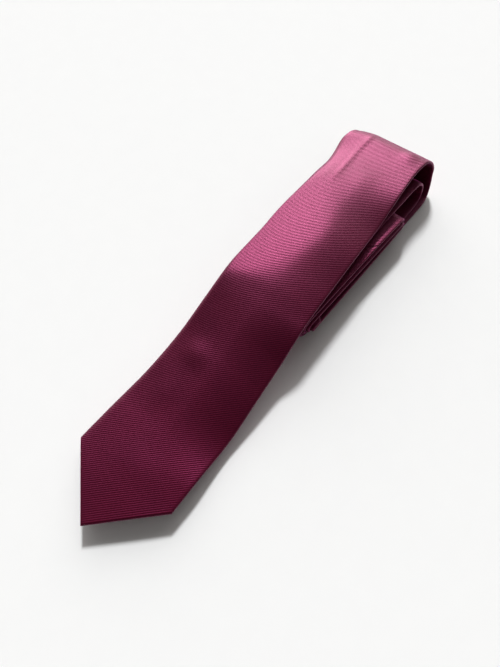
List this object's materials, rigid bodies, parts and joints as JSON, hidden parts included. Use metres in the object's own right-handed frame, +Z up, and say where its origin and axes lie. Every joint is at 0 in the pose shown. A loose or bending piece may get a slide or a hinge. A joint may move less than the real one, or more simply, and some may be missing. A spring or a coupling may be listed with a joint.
{
  "type": "necktie",
  "caption": "Necktie rolled up flat from its tail with the wide pointed blade folded over the roll, free to open again at the main fold.",
  "frame": {"origin": "under the middle of the rolled tie, on the surface that it lies on", "axes": "+X from the blade's point towards the main fold, +Y to the left of the blade seen from above, +Z up out of the face"},
  "size_m": [0.3746, 0.0853, 0.0332],
  "materials": {
    "face_cloth": "ribbed woven silk, soft sheen",
    "lining": "smooth satin lining",
    "canvas": "brushed wool canvas, matt",
    "thread": "twisted sewing thread"
  },
  "bodies": {
    "roll": {"rolled_blade_shell": "face_cloth", "front_neck_seam": "thread", "neck_shell": "face_cloth", "tail_neck_seam": "thread", "tail_shell": "face_cloth", "rolled_interlining": "canvas", "rolled_slip_stitch": "thread", "tail_tipping": "lining", "tail_bar_tack": "thread"},
    "main_fold": {"main_fold_shell": "face_cloth", "main_fold_interlining": "canvas", "main_fold_slip_stitch": "thread"},
    "blade": {"blade_shell": "face_cloth", "blade_interlining": "canvas", "blade_slip_stitch": "thread", "keeper_loop": "face_cloth", "keeper_stitches": "thread"},
    "blade_end": {"blade_tip_shell": "face_cloth", "front_tipping": "lining", "blade_tip_interlining": "canvas", "front_bar_tack": "thread", "blade_tip_slip_stitch": "thread"}
  },
  "joints": [
    {"name": "fold_lower", "type": "hinge", "parent": "roll", "child": "main_fold", "pos_m": [0.1828, 0, 0.0045], "axis": [0, 1, 0], "range_deg": [0, 90]},
    {"name": "fold_upper", "type": "hinge", "parent": "main_fold", "child": "blade", "pos_m": [0.1828, 0, 0.0287], "axis": [0, 1, 0], "range_deg": [0, 90]},
    {"name": "blade_level", "type": "hinge", "parent": "blade", "child": "blade_end", "pos_m": [-0.01327, 0, 0.02205], "axis": [0, 1, 0], "range_deg": [0, 7.2]}
  ],
  "couplings": [
    {"joint": "fold_upper", "follows": "fold_lower", "ratio": 1},
    {"joint": "blade_level", "follows": "fold_lower", "ratio": 0.08}
  ]
}
